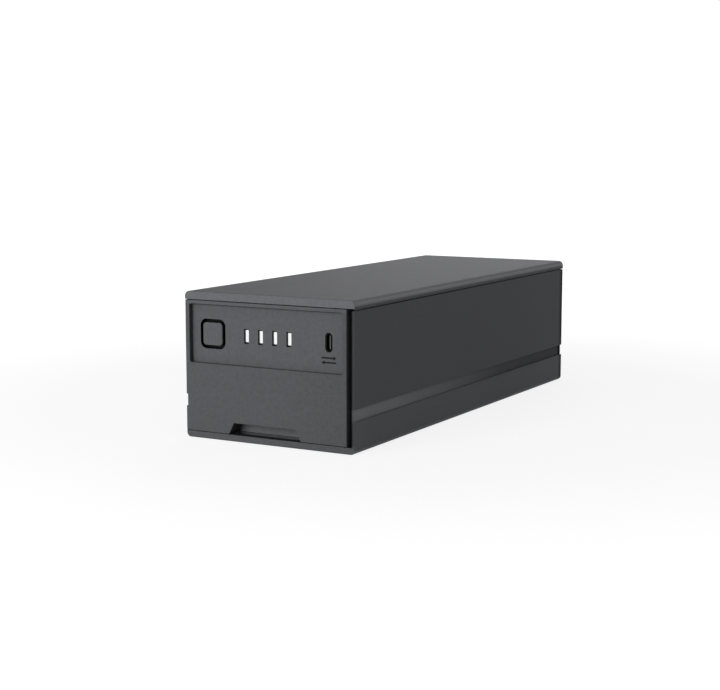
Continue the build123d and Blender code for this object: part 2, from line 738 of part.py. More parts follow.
holder_back = panel_back + light_holder_depth
holder_reach = light_width / 2 + light_clearance + light_holder_margin
with BuildPart() as light_guide_holder:
    slab((light_xs[0] - holder_reach, light_xs[-1] + holder_reach), (panel_back, holder_back),
         span(controls_z, light_height + 2 * (light_clearance + light_holder_margin)))
    for x in light_xs:
        slab(span(x, light_width + 2 * light_clearance), (panel_back, holder_back),
             span(controls_z, light_height + 2 * light_clearance), Mode.SUBTRACT)
finish(light_guide_holder, "light_guide_holder")

port_mouth = recess_y + port_setback
with BuildPart() as port_shell:
    upright_slot(port_x, (port_mouth, board_front), controls_z, port_width, port_height)
    upright_slot(port_x, (port_mouth, board_front), controls_z, port_width - 2 * port_wall,
                 port_height - 2 * port_wall, Mode.SUBTRACT)
finish(port_shell, "port_shell")

with BuildPart() as port_tongue:
    upright_slot(port_x, (board_front - port_back, board_front), controls_z, port_width - 2 * port_wall,
                 port_height - 2 * port_wall)
    slab(span(port_x, port_tongue_thickness), (port_mouth + port_tongue_setback, board_front - port_back),
         span(controls_z, port_tongue_height))
finish(port_tongue, "port_tongue")

with BuildPart() as port_seal:
    upright_slot(port_x, (panel_back, panel_back + port_seal_thickness), controls_z,
                 port_width + 2 * port_seal_width, port_height + 2 * port_seal_width)
    upright_slot(port_x, (panel_back, panel_back + port_seal_thickness), controls_z, port_width, port_height,
                 Mode.SUBTRACT)
finish(port_seal, "port_seal")

# ---- Rear plate, socket and their fasteners ------------------------------------------------------
with BuildPart() as rear_plate:
    rounded_bar(0, (plate_inner, rear_face), plate_centre_z, plate_width, plate_height, plate_radius)
    rounded_bar(0, (plate_inner, rear_face), plate_centre_z, socket_pocket_width, socket_pocket_height,
                socket_clearance, Mode.SUBTRACT)
    for x, z in plate_screw_spots + socket_screw_spots:
        rod(x, (plate_inner, rear_face), z, small_screw_radius + stem_clearance, Mode.SUBTRACT)
        rod(x, (rear_face - plate_sink, rear_face), z, small_head_radius + stem_clearance, Mode.SUBTRACT)
finish(rear_plate, "rear_plate")

with BuildPart() as rear_gasket:
    rounded_bar(0, (plate_bed, plate_inner), plate_centre_z, plate_width, plate_height, plate_radius)
    rounded_bar(0, (plate_bed, plate_inner), plate_centre_z, ledge_width, ledge_height, socket_clearance,
                Mode.SUBTRACT)
    for x, z in plate_screw_spots:
        rod(x, (plate_bed, plate_inner), z, small_screw_radius + stem_clearance, Mode.SUBTRACT)
finish(rear_gasket, "rear_gasket")

with BuildPart() as rear_plate_screws:
    for x, z in plate_screw_spots:
        rod(x, (rear_face - plate_sink, plate_head_face), z, small_head_radius)
        rod(x, (plate_screw_end + running_gap, rear_face - plate_sink), z, small_screw_radius)
finish(rear_plate_screws, "rear_plate_screws")

with BuildPart() as socket_screws:
    for x, z in socket_screw_spots:
        rod(x, (rear_face - plate_sink, plate_head_face), z, small_head_radius)
        rod(x, (plate_inner - socket_screw_bite + running_gap, rear_face - plate_sink), z,
            small_screw_radius)
finish(socket_screws, "socket_screws")

contact_front = socket_face - contact_setback
with BuildPart() as rear_socket:
    rounded_bar(0, (plate_inner - socket_flange_thickness, plate_inner), plate_centre_z, socket_flange_width,
                socket_flange_height, socket_clearance)
    rounded_bar(0, (socket_back, plate_inner - socket_flange_thickness), plate_centre_z,
                socket_flange_width - 2 * socket_body_margin, socket_flange_height - socket_body_margin,
                socket_clearance)
    for x, z in socket_screw_spots:
        rod(x, (plate_inner - socket_screw_bite, plate_inner), z, small_screw_radius, Mode.SUBTRACT)
    rounded_bar(0, (socket_face, plate_inner), plate_centre_z, socket_pocket_width, socket_pocket_height,
                socket_clearance, Mode.SUBTRACT)
    for x in contact_xs:
        slab(span(x, contact_thickness + 2 * contact_clearance), (socket_back, socket_face),
             span(plate_centre_z, contact_height + 2 * contact_clearance), Mode.SUBTRACT)
finish(rear_socket, "rear_socket")

with BuildPart() as rear_contacts:
    for x in contact_xs:
        slab(span(x, contact_thickness), (socket_back - contact_tail, contact_front),
             span(plate_centre_z, contact_height))
finish(rear_contacts, "rear_contacts")


# ---- Cell block ----------------------------------------------------------------------------------
def cell(y, z, direction):
    """One cell lying across the casing, its positive end towards +X or -X."""
    end = cell_length / 2
    outline = [
        (-end, 0),
        (-end, cell_radius - cell_edge),
        (-end + cell_edge, cell_radius),
        (end - crimp_start - crimp_width, cell_radius),
        (end - crimp_start - crimp_width, cell_radius - crimp_depth),
        (end - crimp_start, cell_radius - crimp_depth),
        (end - crimp_start, cell_radius),
        (end - cell_edge, cell_radius),
        (end, cell_radius - cell_edge),
        (end, cell_radius - crimp_width),
        (end - crimp_depth, cell_radius - crimp_width),
        (end - crimp_depth, positive_radius),
        (end, positive_radius),
        (end, 0),
    ]
    with BuildSketch(Plane(origin=(0, y, z))) as profile:
        Polygon(*[(direction * x, r) for x, r in outline], align=None)
    revolve(profile.sketch, axis=Axis((0, y, z), (1, 0, 0)))


for group, y in enumerate(cell_ys, start=1):
    with BuildPart() as cell_group:
        for z in cell_zs:
            cell(y, z, 1 if group % 2 else -1)
    finish(cell_group, f"cell_group_{group}")

for side, name in ((-1, "left"), (1, "right")):
    with BuildPart() as cell_holder:
        holder_x = sorted((side * holder_inner, side * holder_outer))
        slab(holder_x, (block_front, block_rear), (floor_thickness, holder_top))
        fillet(cell_holder.edges().filter_by(Axis.X), holder_end_rim)
        holder_x_middle = side * (holder_inner + holder_outer) / 2
        with Locations(*[(holder_x_middle, y, z) for y in cell_ys for z in cell_zs]):
            Cylinder(bore_radius, holder_depth, rotation=(0, 90, 0), mode=Mode.SUBTRACT)
    finish(cell_holder, f"cell_holder_{name}")

    with BuildPart() as foam_strip:
        slab(holder_x, (block_front + tab_width + 2 * tab_margin, block_rear - tab_width - 2 * tab_margin),
             (holder_top, cover_underside))
    finish(foam_strip, f"foam_strip_{name}")

    with BuildPart() as insulation_sheet:
        sheet_x = sorted((side * bus_outer, side * (bus_outer + insulation_thickness)))
        slab(sheet_x, (block_front + tab_margin, block_rear - tab_margin),
             (floor_thickness + tab_margin, holder_top - tab_margin))
    finish(insulation_sheet, f"insulation_sheet_{name}")


def bus_plate(side, first, last):
    """Plate welded across the cell ends of neighbouring groups, slit at each weld."""
    plate_x = sorted((side * cell_length / 2, side * bus_outer))
    slab(plate_x, (cell_ys[first] - plate_cover, cell_ys[last] + plate_cover),
         (cell_zs[0] - plate_cover, cell_zs[-1] + plate_cover))
    for y in cell_ys[first:last + 1]:
        for z in cell_zs:
            slab(plate_x, span(y, weld_slit_width), span(z, weld_slit_height), Mode.SUBTRACT)


def lead_tab(y, reach):
    """Tab folded from a left-hand bus plate over the top of the holder, reaching inwards to X = reach."""
    slab((-bus_outer, -cell_length / 2), (y, y + tab_width),
         (cell_zs[-1] + plate_cover / 2, holder_top + bus_thickness))
    slab((-bus_outer, reach), (y, y + tab_width), (holder_top, holder_top + bus_thickness))


front_tab_y = block_front + tab_margin
rear_tab_y = block_rear - tab_margin - tab_width
with BuildPart() as bus_plates_left:
    bus_plate(-1, 0, 0)
    for first in range(1, cells_long - 1, 2):
        bus_plate(-1, first, first + 1)
    bus_plate(-1, cells_long - 1, cells_long - 1)
    lead_tab(front_tab_y, negative_lead_x + lead_radius)
    lead_tab(rear_tab_y, positive_lead_x + lead_radius)
finish(bus_plates_left, "bus_plates_left")

with BuildPart() as bus_plates_right:
    for first in range(0, cells_long, 2):
        bus_plate(1, first, first + 1)
finish(bus_plates_right, "bus_plates_right")

with BuildPart() as sense_flex:
    flex_layer = (flex_z, flex_z + flex_thickness)
    slab(span(0, flex_width), (block_front + tab_margin, block_rear), flex_layer)
    for y in cell_ys:
        slab(span(0, 2 * (holder_inner - strip_clearance)), span(y, flex_branch_width), flex_layer)
    with BuildSketch(Plane(origin=(-flex_width / 2, 0, 0), x_dir=(0, 1, 0), z_dir=(1, 0, 0))):
        with BuildLine() as route:
            FilletPolyline((block_rear, flex_z + flex_thickness / 2), (link_y, flex_z + flex_thickness / 2),
                           (link_y, deck_z + header_size[2]), radius=ribbon_bend)
        trace(route.line, line_width=flex_thickness)
    extrude(amount=flex_width)
finish(sense_flex, "sense_flex")

# ---- Main board and what it carries --------------------------------------------------------------
with BuildPart() as main_board:
    slab(span(0, main_board_width), (main_board_front, main_board_rear), (main_board_z, deck_z))
    for x, y in standoff_spots:
        post(x, y, (main_board_z, deck_z), small_screw_radius + stem_clearance, Mode.SUBTRACT)
finish(main_board, "main_board")

with BuildPart() as main_board_screws:
    for x, y in standoff_spots:
        post(x, y, (deck_z, deck_z + small_head_height), small_head_radius)
        post(x, y, (deck_z - small_screw_bite + running_gap, deck_z), small_screw_radius)
finish(main_board_screws, "main_board_screws")


# Rows between the link terminals in front and the output terminals behind, evenly spaced
row_space = output_y - link_y - terminal_size - choke_size - 2 * capacitor_radius - transistor_size[1]
row_gap = row_space / 4
choke_y = link_y + terminal_size / 2 + row_gap + choke_size / 2
capacitor_y = choke_y + choke_size / 2 + row_gap + capacitor_radius
transistor_y = capacitor_y + capacitor_radius + row_gap + transistor_size[1] / 2
power_row_x = -main_board_width / 2 + power_row_inset
fuse_x = main_board_width / 2 - fuse_inset


def on_deck(x, y, size, base=deck_z):
    """Component body of the given size, standing on the main board."""
    slab(span(x, size[0]), span(y, size[1]), (base, base + size[2]))


terminal_block = (terminal_size, terminal_size, terminal_height)
terminal_spots = [
    (negative_lead_x, link_y),
    (positive_lead_x, link_y),
    (contact_xs[0], output_y),
    (contact_xs[-1], output_y),
]
with BuildPart() as board_terminals:
    for x, y in terminal_spots:
        on_deck(x, y, terminal_block)
finish(board_terminals, "board_terminals")

with BuildPart() as board_headers:
    on_deck(0, link_y, header_size)
    on_deck(ribbon_x, link_y, header_size)
    slab(span(ribbon_x, header_size[0]), (board_back, board_back + header_size[2]),
         span(front_header_z, header_size[1]))
finish(board_headers, "board_headers")

choke_xs = [power_row_x + side * choke_pitch / 2 for side in (-1, 1)]
with BuildPart() as power_chokes:
    for x in choke_xs:
        on_deck(x, choke_y, (choke_size, choke_size, choke_height))
    fillet(power_chokes.edges().filter_by(Axis.Z), holder_end_rim)
    for x in choke_xs:
        post(x, choke_y, (deck_z + choke_height, deck_z + choke_height + bus_thickness), choke_core_radius)
finish(power_chokes, "power_chokes")

with BuildPart() as filter_capacitors:
    for i in range(capacitor_count):
        capacitor_x = power_row_x + (i - (capacitor_count - 1) / 2) * capacitor_pitch
        post(capacitor_x, capacitor_y, (deck_z, deck_z + capacitor_height), capacitor_radius)
finish(filter_capacitors, "filter_capacitors")

with BuildPart() as power_transistors:
    for i in range(transistor_count):
        on_deck((i - (transistor_count - 1) / 2) * transistor_pitch, transistor_y, transistor_size)
finish(power_transistors, "power_transistors")

spreader_width = transistor_count * transistor_pitch
spreader_base = deck_z + transistor_size[2]
fin_spots = [(i - (fin_count - 1) / 2) * spreader_width / fin_count for i in range(fin_count)]
with BuildPart() as heat_spreader:
    on_deck(0, transistor_y, (spreader_width, transistor_size[1], heat_spreader_thickness), spreader_base)
    for x in fin_spots:
        on_deck(x, transistor_y, (fin_thickness, transistor_size[1], heat_spreader_thickness + fin_height),
                spreader_base)
finish(heat_spreader, "heat_spreader")

with BuildPart() as main_fuse:
    on_deck(fuse_x, choke_y, fuse_size)
finish(main_fuse, "main_fuse")

with BuildPart() as shunt_resistor:
    on_deck(fuse_x, capacitor_y, shunt_size)
finish(shunt_resistor, "shunt_resistor")

# ---- Leads inside the casing ---------------------------------------------------------------------
lead_routes = {
    "pack_lead_negative": [(negative_lead_x, front_tab_y, lead_z), (negative_lead_x, link_y, lead_z),
                           (negative_lead_x, link_y, terminal_top)],
    "pack_lead_positive": [(positive_lead_x, rear_tab_y, lead_z), (positive_lead_x, link_y, lead_z),
                           (positive_lead_x, link_y, terminal_top)],
}
for name, route_points in lead_routes.items():
    with BuildPart() as pack_lead:
        with BuildLine() as route:
            FilletPolyline(*route_points, radius=lead_bend)
        with BuildSketch(Plane(origin=route_points[0], z_dir=(0, 1, 0))):
            Circle(lead_radius)
        sweep(path=route.line)
    finish(pack_lead, name)

tail_y = socket_back - contact_tail
for x, name in ((contact_xs[0], "negative"), (contact_xs[-1], "positive")):
    with BuildPart() as output_lead:
        with BuildLine() as route:
            FilletPolyline((x, tail_y, plate_centre_z), (x, output_y, plate_centre_z),
                           (x, output_y, terminal_top), radius=output_bend)
        with BuildSketch(Plane(origin=(x, tail_y, plate_centre_z), z_dir=(0, -1, 0))):
            Circle(lead_radius)
        sweep(path=route.line)
    finish(output_lead, f"output_lead_{name}")

ribbon_start = board_back + header_size[2]
ribbon_rise = ribbon_start + ribbon_bend + tab_margin
with BuildPart() as signal_ribbon:
    with BuildSketch(Plane(origin=(ribbon_x - ribbon_width / 2, 0, 0), x_dir=(0, 1, 0), z_dir=(1, 0, 0))):
        with BuildLine() as route:
            FilletPolyline((ribbon_start, front_header_z), (ribbon_rise, front_header_z),
                           (ribbon_rise, ribbon_z), (link_y, ribbon_z), (link_y, deck_z + header_size[2]),
                           radius=ribbon_bend)
        trace(route.line, line_width=ribbon_thickness)
    extrude(amount=ribbon_width)
finish(signal_ribbon, "signal_ribbon")
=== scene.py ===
import json
from math import radians

import bmesh
import bpy
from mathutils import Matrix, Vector


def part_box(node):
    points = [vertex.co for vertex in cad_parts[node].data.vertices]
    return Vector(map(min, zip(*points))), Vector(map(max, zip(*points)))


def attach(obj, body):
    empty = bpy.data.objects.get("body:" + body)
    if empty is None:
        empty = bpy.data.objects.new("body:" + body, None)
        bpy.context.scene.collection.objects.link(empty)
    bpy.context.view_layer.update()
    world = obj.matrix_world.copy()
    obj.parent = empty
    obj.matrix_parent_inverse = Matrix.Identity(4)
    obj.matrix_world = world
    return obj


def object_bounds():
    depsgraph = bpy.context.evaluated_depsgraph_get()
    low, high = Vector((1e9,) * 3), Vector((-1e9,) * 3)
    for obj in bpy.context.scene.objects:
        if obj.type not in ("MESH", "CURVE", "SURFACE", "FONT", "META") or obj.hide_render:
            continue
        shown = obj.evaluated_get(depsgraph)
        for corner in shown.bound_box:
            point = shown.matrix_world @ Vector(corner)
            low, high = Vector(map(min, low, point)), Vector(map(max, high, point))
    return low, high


# Looks for the slide-in battery power station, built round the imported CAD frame. Metres, +Z up.
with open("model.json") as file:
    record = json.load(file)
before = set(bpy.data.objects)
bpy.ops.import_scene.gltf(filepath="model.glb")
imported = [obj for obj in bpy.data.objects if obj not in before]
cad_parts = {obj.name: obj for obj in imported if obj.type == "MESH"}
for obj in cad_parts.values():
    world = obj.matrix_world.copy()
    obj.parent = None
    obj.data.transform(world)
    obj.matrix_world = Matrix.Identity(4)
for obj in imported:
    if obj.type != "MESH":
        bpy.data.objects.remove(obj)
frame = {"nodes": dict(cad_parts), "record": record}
cad_low, cad_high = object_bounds()

MM = 0.001
scene = bpy.context.scene
mounts = {mount["name"]: Vector(mount["pos_m"]) for mount in frame["record"]["mounts"]}
panel_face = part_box("front_panel")[0][1]
slot_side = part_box("front_panel")[1][0]

# Shape of the casing that its finish follows
recess_depth = 3.0 * MM
recess_half_height = 15.3 * MM
well_depth = 3.6 * MM
pocket_depth = 10.0 * MM
groove_height = 6.3 * MM
sill_height = 3.4 * MM
fascia_depth = 0.4 * MM


# ---- Camera ----------------------------------------------------------------------------------------
def make_camera():
    """The camera in front of the right-hand corner, a little above the top and tilted down."""
    tilt = 7.819
    turn = 29.163
    data = bpy.data.cameras.new("camera")
    data.lens = 75.75
    data.sensor_width = 36.0
    camera = bpy.data.objects.new("camera", data)
    camera.location = (0.40522, -0.76622, 0.15393)
    camera.rotation_euler = (radians(90 - tilt), 0, radians(turn))
    scene.collection.objects.link(camera)
    scene.camera = camera


# ---- Node helpers ----------------------------------------------------------------------------------
class Nodes:
    """Short names for building one node tree."""

    def __init__(self, tree):
        self.tree = tree
        tree.nodes.clear()

    def add(self, kind, **settings):
        """New node of a kind, with its own settings."""
        node = self.tree.nodes.new("ShaderNode" + kind)
        for name, value in settings.items():
            setattr(node, name, value)
        return node

    def fill(self, socket, value):
        """Gives a socket a constant or another node's output."""
        if isinstance(value, bpy.types.NodeSocket):
            self.tree.links.new(value, socket)
        else:
            socket.default_value = value

    def set(self, node, **values):
        """Fills sockets by name."""
        for name, value in values.items():
            self.fill(node.inputs[name.replace("_", " ")], value)
        return node

    def position(self):
        """The point in the object's own frame, in metres."""
        return self.add("TexCoord").outputs["Object"]

    def normal(self, name):
        """One coordinate of the surface normal, from -1 to 1."""
        return self.axis(self.add("TexCoord").outputs["Normal"], name)

    def facing(self, name):
        """How far the surface faces along an axis, either way: 0 to 1."""
        return self.math("ABSOLUTE", self.normal(name))

    def axis(self, point, name):
        """One coordinate of a point: X, Y or Z."""
        return self.set(self.add("SeparateXYZ"), Vector=point).outputs[name]

    def stretch(self, point, scale):
        """The point scaled along each axis, which draws a pattern out where the scale is small."""
        return self.set(self.add("Mapping"), Vector=point, Scale=scale).outputs["Vector"]

    def math(self, operation, a, b=0.0):
        """Result of a Math node, whose second number may be left out."""
        node = self.add("Math", operation=operation)
        self.fill(node.inputs[0], a)
        self.fill(node.inputs[1], b)
        return node.outputs["Value"]

    def remap(self, value, low, high, to_low=0.0, to_high=1.0):
        """Carries low to high over to to_low to to_high, and stays at those ends outside."""
        node = self.add("MapRange")
        self.set(node, Value=value, From_Min=low, From_Max=high, To_Min=to_low, To_Max=to_high)
        return node.outputs["Result"]

    def falling(self, value, low, high):
        """1 up to low, then falling to 0 at high."""
        return self.remap(value, low, high, 1.0, 0.0)

    def spread(self, noise, to_low=0.0, to_high=1.0):
        """Carries the usual range of a noise over to to_low to to_high."""
        return self.remap(noise, 0.3, 0.7, to_low, to_high)

    def within(self, value, low, high, blend):
        """1 between low and high, 0 outside, with a soft border."""
        above = self.remap(value, low - blend, low + blend)
        below = self.falling(value, high - blend, high + blend)
        return self.all_of(above, below)

    def bands(self, value, low, high, *levels):
        """Level that changes smoothly through a row of evenly spaced levels from low to high."""
        node = self.set(self.add("ValToRGB"), Fac=self.remap(value, low, high))
        stops = node.color_ramp.elements
        for i in range(1, len(levels) - 1):
            stops.new(i / (len(levels) - 1))
        for stop, level in zip(stops, levels):
            stop.color = (level, level, level, 1.0)
        return node.outputs["Color"]

    def all_of(self, *masks):
        """Product of masks: 1 only where all are 1."""
        product = masks[0]
        for mask in masks[1:]:
            product = self.math("MULTIPLY", product, mask)
        return product

    def none_of(self, mask):
        """1 where the mask is 0, and 0 where it is 1."""
        return self.falling(mask, 0.0, 1.0)

    def shade(self, tone, level, mask):
        """The tone times a level where the mask is 1."""
        shaded = self.set(self.add("VectorMath", operation="SCALE"), Vector=tone, Scale=level)
        return self.mix(mask, tone, shaded.outputs["Vector"])

    def noise(self, point, scale, detail=2.0, roughness=0.5):
        """Cloudy noise, with a larger scale for finer grain."""
        node = self.set(self.add("TexNoise"), Scale=scale, Detail=detail, Roughness=roughness, Vector=point)
        return node.outputs["Fac"]

    def mix(self, factor, a, b):
        """Blend of two colours, whose sockets follow those for numbers and vectors on the Mix node."""
        node = self.add("Mix", data_type="RGBA")
        for socket, value in ((node.inputs[0], factor), (node.inputs[6], a), (node.inputs[7], b)):
            self.fill(socket, value)
        return node.outputs[2]

    def mix_shaders(self, factor, a, b):
        """Blend of two shader nodes."""
        node = self.add("MixShader")
        for socket, value in zip(node.inputs, (factor, a.outputs[0], b.outputs[0])):
            self.fill(socket, value)
        return node.outputs[0]

    def grey(self, tone):
        """Brightness of a colour."""
        return self.set(self.add("RGBToBW"), Color=tone).outputs["Val"]

    def bump(self, height, distance, normal=None):
        """Normal that follows a height, on top of another normal if one is given."""
        node = self.set(self.add("Bump"), Height=height, Distance=distance)
        if normal is not None:
            self.fill(node.inputs["Normal"], normal)
        return node.outputs["Normal"]

    def edge(self, radius):
        """Normal that rounds sharp edges over a small radius."""
        return self.set(self.add("Bevel", samples=6), Radius=radius).outputs["Normal"]

    def crevice(self, distance):
        """1 on open surfaces, falling to 0 deep in a gap."""
        return self.set(self.add("AmbientOcclusion", samples=12), Distance=distance).outputs["AO"]


def srgb(r, g, b):
    """Linear colour with alpha from sRGB levels of 0 to 255."""
    def linear(level):
        level = level / 255
        return level / 12.92 if level <= 0.04045 else ((level + 0.055) / 1.055) ** 2.4
    return (linear(r), linear(g), linear(b), 1.0)


def neutral(level):
    """Linear grey with alpha: 0 is black and 1 is white."""
    return (level, level, level, 1.0)


def scaled(colour, share):
    """The colour at a share of its brightness."""
    return tuple(share * level for level in colour[:3]) + (1.0,)


def material(name):
    """New material: its nodes and its Principled shader, already joined to the output."""
    made = bpy.data.materials.new(name)
    made.use_nodes = True
    n = Nodes(made.node_tree)
    shader = n.add("BsdfPrincipled")
    n.set(n.add("OutputMaterial"), Surface=shader.outputs["BSDF"])
    return made, n, shader


# ---- Casing plastic --------------------------------------------------------------------------------
# Painted shade: the grey that gaps and hollows darken to
gap_shade_grey = srgb(38, 38, 39)
# Painted shade: the near-black of the wells of the button, lights and port
well_shade_black = srgb(13, 13, 14)

# Painted shade: level of the front beside the keying slot, as a share of the level at its middle, darker
# towards the right
slot_side_shade_level = 0.88


def moulded_plastic(name, colour, patch, grain_depth=0.014 * MM):
    """Moulded plastic with a fine eroded texture, smoother on the sides, with painted shade darkening its
    gaps and no sheen where the tone is dark.

    patch(n, point, tone) changes the tone over part of the surface.
    """
    side_texture = 0.25
    full_sheen = 0.18
    gap_shade_reach = 4 * MM
    corner_radius = 0.18 * MM
    made, n, shader = material(name)
    point = n.position()
    cloud = n.noise(point, scale=30.0, detail=3.0, roughness=0.55)
    mottle = n.noise(point, scale=480.0, detail=3.0, roughness=0.65)
    grain = n.noise(point, scale=2200.0, detail=3.0, roughness=0.6)
    texture = n.remap(n.facing("X"), 0.3, 0.8, 1.0, side_texture)
    dark_spots = n.all_of(texture, n.remap(mottle, 0.36, 0.64, 0.0, 0.5))
    pale_grains = n.all_of(texture, n.remap(grain, 0.35, 0.7, 0.0, 0.6))
    tone = n.mix(n.spread(cloud), scaled(colour, 0.97), scaled(colour, 1.02))
    tone = n.mix(dark_spots, tone, scaled(colour, 0.7))
    tone = n.mix(pale_grains, tone, scaled(colour, 1.4))
    tone = patch(n, point, tone)
    # Painted shade: the tone darkens to a grey deep in gaps and hollows
    open_air = n.remap(n.crevice(gap_shade_reach), 0.08, 0.5, 0.1, 1.0)
    tone = n.mix(open_air, gap_shade_grey, tone)
    # No sheen where the tone is dark, so the painted shade stays dark
    sheen = n.remap(n.grey(tone), 0.006, 0.04, 0.0, full_sheen)
    n.set(shader, Base_Color=tone, Roughness=n.spread(grain, 0.69, 0.8), Specular_IOR_Level=sheen)
    n.set(shader, Normal=n.bump(grain, grain_depth, n.edge(corner_radius)))
    return made


def cover_tone(n, point, tone):
    """The cover's fascia is paler than its top; its right edge has a painted highlight that turns to
    painted shade down to the gap.
    """
    fascia_levels = (1.5, 1.5, 0.95)
    edge_light_levels = (0.78, 0.95, 1.4, 3.0, 3.6, 2.3, 2.2)
    fascia_fade = 0.6 * MM
    edge_light_height = 5 * MM
    top = cad_high[2]
    height = n.axis(point, "Z")
    frontal = n.falling(n.axis(point, "Y"), cad_low[1] + fascia_depth / 2, cad_low[1] + fascia_depth)
    right = n.remap(n.normal("X"), 0.03, 0.2)
    tone = n.shade(tone, n.bands(height, top - fascia_fade, top, *fascia_levels), frontal)
    # Painted highlight along the right edge, turning to painted shade down towards the gap
    edge = n.bands(height, top - edge_light_height, top, *edge_light_levels)
    return n.shade(tone, edge, n.all_of(right, n.none_of(frontal)))


def panel_tone(n, point, tone):
    """Painted shade on the walls and wells behind the panel's face, which is a little paler in the control
    recess.
    """
    rim_highlight_level = 1.15
    recess_level = 1.12
    rim_shadow_level = 0.3
    pocket_back_light_level = 1.5
    across = n.axis(point, "X")
    height = n.axis(point, "Z")
    depth = n.math("SUBTRACT", n.axis(point, "Y"), panel_face)
    side_on = n.facing("X")
    end_on = n.facing("Y")
    middle = mounts["usb_c_port"].z
    recess_top = middle + recess_half_height

    # Where the point lies: in the recess's height, behind the face, clear of either outer side
    level = n.within(height, middle - recess_half_height, recess_top, blend=0.2 * MM)
    fade = n.remap(across, slot_side - 0.4 * MM, slot_side - 0.1 * MM, 0.6 * MM, 3.2 * MM)
    sunk = n.remap(depth, 0.25 * MM, fade)
    recessed = n.all_of(level, sunk)
    off_left = n.remap(across, cad_low[0] + 1.3 * MM, cad_low[0] + 1.6 * MM)
    off_right = n.falling(across, slot_side - 0.4 * MM, slot_side - 0.2 * MM)

    # The face with painted shade to the right, the rim with a painted highlight, the recess with a painted
    # shadow under the rim, and the pocket's back with painted light
    on_face = n.remap(depth, 0.0, recess_depth, 1.0, 0.3)
    tone = n.shade(tone, n.remap(across, 0.0, slot_side, 1.0, slot_side_shade_level), on_face)
    tone = n.shade(tone, rim_highlight_level, n.remap(height, recess_top + 0.2 * MM, recess_top + 0.6 * MM))
    tone = n.shade(tone, recess_level, recessed)
    rim_shadow_band = n.remap(height, recess_top - 0.7 * MM, recess_top - 0.3 * MM)
    tone = n.shade(tone, rim_shadow_level, n.all_of(recessed, rim_shadow_band))
    pocket_back_lit = n.remap(depth, pocket_depth - 0.6 * MM, pocket_depth - 0.2 * MM)
    tone = n.shade(tone, pocket_back_light_level, pocket_back_lit)

    # Painted shade on the walls that run back from the face, and near-black painted shade in the wells of
    # the button, lights and port
    wall = n.all_of(sunk, off_left, n.falling(end_on, 0.3, 0.8))
    wall_shade_tone = n.mix(n.remap(side_on, 0.4, 0.8), srgb(84, 84, 86), srgb(62, 62, 64))
    tone = n.mix(wall, tone, wall_shade_tone)
    well = n.within(depth, recess_depth + 0.2 * MM, recess_depth + well_depth, blend=0.1 * MM)
    return n.mix(n.all_of(level, well, off_left, off_right), tone, well_shade_black)


def cap_tone(n, point, tone):
    """The cap's bevel has a painted highlight, and its sides inside their well are painted near-black as
    shade.
    """
    bevel_highlight_level = 1.25
    well_mouth = panel_face + recess_depth
    bevel = n.falling(n.facing("Y"), 0.85, 0.98)
    in_well = n.remap(n.axis(point, "Y"), well_mouth + 0.05 * MM, well_mouth + 0.3 * MM)
    return n.mix(in_well, n.shade(tone, bevel_highlight_level, bevel), well_shade_black)


def housing_tone(n, point, tone):
    """Each guide groove has painted light, paler towards the front; the sides and front have painted
    highlights, light and shade.
    """
    groove_light_levels = (2.5, 2.35, 1.8, 1.24, 0.6, 0.42, 0.38)
    slot_end_shade_levels = (0.3, 0.35, 0.55, 1.0)
    bottom_edge_highlight_level = 2.4
    below_groove_light_level = 1.28
    rear_edge_shade_level = 0.2
    sill_lip_shade_level = 0.2
    slot_shade_reach = 1.7 * MM
    across = n.axis(point, "X")
    along = n.axis(point, "Y")
    height = n.axis(point, "Z")
    side_on = n.facing("X")
    groove_floor = abs(mounts["guide_groove_right"].x)
    groove_middle = mounts["guide_groove_right"].z
    groove_low = groove_middle - groove_height / 2
    groove_high = groove_middle + groove_height / 2

    # The floor of either guide groove, paler towards the front with painted light
    sunk = n.falling(n.math("ABSOLUTE", across), groove_floor + 0.2 * MM, groove_floor + 0.5 * MM)
    grooved = n.all_of(n.within(height, groove_low, groove_high, blend=0.1 * MM), sunk)
    tone = n.shade(tone, n.bands(along, cad_low[1], cad_high[1], *groove_light_levels), grooved)

    # The sides: a painted highlight on the bottom edge, painted light on the strip below the groove and
    # painted shade on the rounded rear edge
    bottom_edge_highlight = n.all_of(n.falling(height, 0.6 * MM, 2.4 * MM), n.remap(side_on, 0.2, 0.5))
    tone = n.shade(tone, bottom_edge_highlight_level, bottom_edge_highlight)
    below_groove_light = n.remap(height, groove_low - 0.2 * MM, groove_low, below_groove_light_level, 1.0)
    tone = n.shade(tone, below_groove_light, side_on)
    rear_edge_shade = n.remap(along, cad_high[1] - 6.5 * MM, cad_high[1] - 2.5 * MM)
    tone = n.shade(tone, rear_edge_shade_level, n.all_of(rear_edge_shade, n.remap(side_on, 0.3, 0.6)))

    # The front: painted shade on the sill's lip, on its face towards the right and on the end of the wall
    # in the keying slot
    lip = n.within(height, sill_height - 0.3 * MM, sill_height + 0.2 * MM, blend=0.05 * MM)
    tone = n.shade(tone, sill_lip_shade_level, n.all_of(lip, n.remap(n.facing("Z"), 0.6, 0.9)))
    frontal = n.falling(along, panel_face + 0.3 * MM, panel_face + 0.6 * MM)
    tone = n.shade(tone, n.remap(across, 0.0, slot_side, 1.0, slot_side_shade_level), frontal)
    slot_end = n.all_of(frontal, n.remap(across, slot_side, slot_side + 1 * MM),
                        n.remap(height, sill_height, sill_height + 1 * MM))
    return n.shade(tone, n.bands(across, cad_high[0] - slot_shade_reach, cad_high[0], *slot_end_shade_levels), slot_end)


